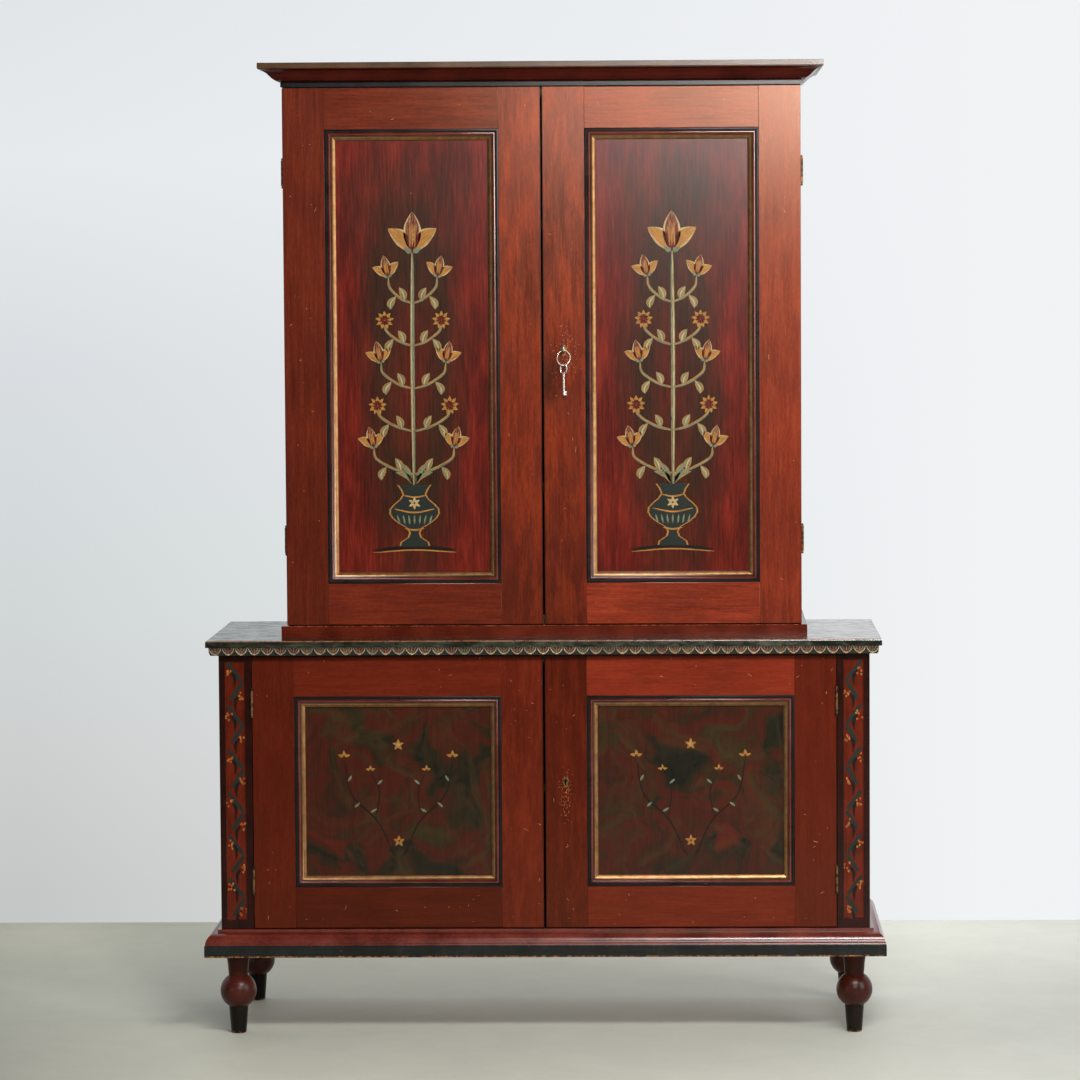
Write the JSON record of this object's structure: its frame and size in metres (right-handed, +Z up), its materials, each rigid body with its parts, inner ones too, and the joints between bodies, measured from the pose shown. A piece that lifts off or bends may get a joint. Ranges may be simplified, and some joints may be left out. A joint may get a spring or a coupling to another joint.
{
  "type": "two-stage painted cupboard",
  "caption": "Two-stage painted cupboard: wide low case on turned ball feet with a worktop, and a taller narrow case with a cornice, each with a pair of framed doors.",
  "frame": {"origin": "on the floor under the middle of the base moulding's outline", "axes": "+X to the viewer's right, +Y to the back, +Z up"},
  "size_m": [1.405, 0.48, 2],
  "materials": {
    "frame_wood": "red-brown stained and waxed hardwood, straight grain",
    "panel_wood": "crimson-stained panel with painted ornament",
    "moulding_paint": "black, red and bronze-gold paint on a wooden moulding",
    "case_wood": "dark red-brown stained boards",
    "inner_wood": "plain unpainted softwood inside",
    "pilaster_paint": "aubergine and red paint on wood",
    "base_paint": "oxblood paint with a blue-black band",
    "worktop_paint": "glossy dark green-grey paint, worn",
    "leaf_paint": "ochre, olive and red painted carving",
    "cornice_paint": "oxblood paint, black fillet",
    "cornice_edge": "tan and olive edge",
    "foot_paint": "plum-brown paint, black tips",
    "brass": "aged brass",
    "steel": "plain worn steel",
    "key_metal": "bright nickel-plated"
  },
  "bodies": {
    "cupboard": {"foot_front_left": "foot_paint", "foot_front_right": "foot_paint", "foot_back_left": "foot_paint", "foot_back_right": "foot_paint", "base_moulding": "base_paint", "lower_bottom": "inner_wood", "lower_side_left": "case_wood", "lower_side_right": "case_wood", "lower_back": "inner_wood", "lower_shelf": "inner_wood", "lower_top": "inner_wood", "pilaster_left": "pilaster_paint", "pilaster_right": "pilaster_paint", "worktop": "worktop_paint", "leaf_moulding": "leaf_paint", "upper_plinth": "case_wood", "upper_bottom": "inner_wood", "upper_side_left": "case_wood", "upper_side_right": "case_wood", "upper_back": "inner_wood", "upper_top": "inner_wood", "upper_shelves": "inner_wood", "cornice_moulding": "cornice_paint", "cornice_board": "cornice_edge", "case_hinge_leaves": "brass", "hinge_pins": "brass"},
    "upper_left_door": {"upper_left_door_stiles": "frame_wood", "upper_left_door_rails": "frame_wood", "upper_left_door_panel": "panel_wood", "upper_left_door_moulding": "moulding_paint", "upper_left_door_hinge_leaves": "brass", "upper_bolt_guides": "steel"},
    "upper_right_door": {"upper_right_door_stiles": "frame_wood", "upper_right_door_rails": "frame_wood", "upper_right_door_panel": "panel_wood", "upper_right_door_moulding": "moulding_paint", "upper_right_door_hinge_leaves": "brass", "upper_lock_case": "steel", "upper_keyhole_rim": "brass"},
    "lower_left_door": {"lower_left_door_stiles": "frame_wood", "lower_left_door_rails": "frame_wood", "lower_left_door_panel": "panel_wood", "lower_left_door_moulding": "moulding_paint", "lower_left_door_hinge_leaves": "brass", "lower_bolt_guide": "steel"},
    "lower_right_door": {"lower_right_door_stiles": "frame_wood", "lower_right_door_rails": "frame_wood", "lower_right_door_panel": "panel_wood", "lower_right_door_moulding": "moulding_paint", "lower_right_door_hinge_leaves": "brass", "lower_lock_case": "steel", "lower_keyhole_rim": "brass"},
    "upper_lock_bolt": {"upper_lock_bolt": "steel"},
    "lower_lock_bolt": {"lower_lock_bolt": "steel"},
    "upper_top_bolt": {"upper_top_bolt": "steel"},
    "upper_bottom_bolt": {"upper_bottom_bolt": "steel"},
    "lower_top_bolt": {"lower_top_bolt": "steel"},
    "door_key": {"door_key": "key_metal"},
    "key_ring": {"key_ring": "key_metal"},
    "spare_key": {"spare_key": "key_metal"}
  },
  "joints": [
    {"name": "upper_right_door_hinge", "type": "hinge", "parent": "cupboard", "child": "upper_right_door", "pos_m": [0.5346, -0.1325, 1], "axis": [0, 0, 1], "range_deg": [0, 180]},
    {"name": "upper_left_door_hinge", "type": "hinge", "parent": "cupboard", "child": "upper_left_door", "pos_m": [-0.5346, -0.1325, 1], "axis": [0, 0, -1], "range_deg": [0, 180]},
    {"name": "lower_right_door_hinge", "type": "hinge", "parent": "cupboard", "child": "lower_right_door", "pos_m": [0.60175, -0.208, 0.5], "axis": [0, 0, 1], "range_deg": [0, 175]},
    {"name": "lower_left_door_hinge", "type": "hinge", "parent": "cupboard", "child": "lower_left_door", "pos_m": [-0.60175, -0.208, 0.5], "axis": [0, 0, -1], "range_deg": [0, 175]},
    {"name": "key_turn", "type": "hinge", "parent": "upper_right_door", "child": "door_key", "pos_m": [0.0436, -0.169, 1.4135], "axis": [0, 1, 0], "range_deg": [0, 180]},
    {"name": "upper_lock_bolt_slide", "type": "slide", "parent": "upper_right_door", "child": "upper_lock_bolt", "axis": [-1, 0, 0], "range_m": [0, 0.015]},
    {"name": "lower_lock_bolt_slide", "type": "slide", "parent": "lower_right_door", "child": "lower_lock_bolt", "axis": [-1, 0, 0], "range_m": [0, 0.015]},
    {"name": "upper_top_bolt_slide", "type": "slide", "parent": "upper_left_door", "child": "upper_top_bolt", "axis": [0, 0, 1], "range_m": [0, 0.012]},
    {"name": "upper_bottom_bolt_slide", "type": "slide", "parent": "upper_left_door", "child": "upper_bottom_bolt", "axis": [0, 0, -1], "range_m": [0, 0.012]},
    {"name": "lower_top_bolt_slide", "type": "slide", "parent": "lower_left_door", "child": "lower_top_bolt", "axis": [0, 0, 1], "range_m": [0, 0.012]},
    {"name": "key_ring_swing", "type": "hinge", "parent": "door_key", "child": "key_ring", "pos_m": [0.0436, -0.169, 1.4135], "axis": [-1, 0, 0], "range_deg": [-3, 60]},
    {"name": "spare_key_swing", "type": "hinge", "parent": "key_ring", "child": "spare_key", "pos_m": [0.0436, -0.169, 1.3788], "axis": [-0.848, -0.5299, 0], "range_deg": [-4, 20]}
  ],
  "couplings": [
    {"joint": "upper_lock_bolt_slide", "follows": "key_turn", "m_per_rad": 0.00477}
  ]
}
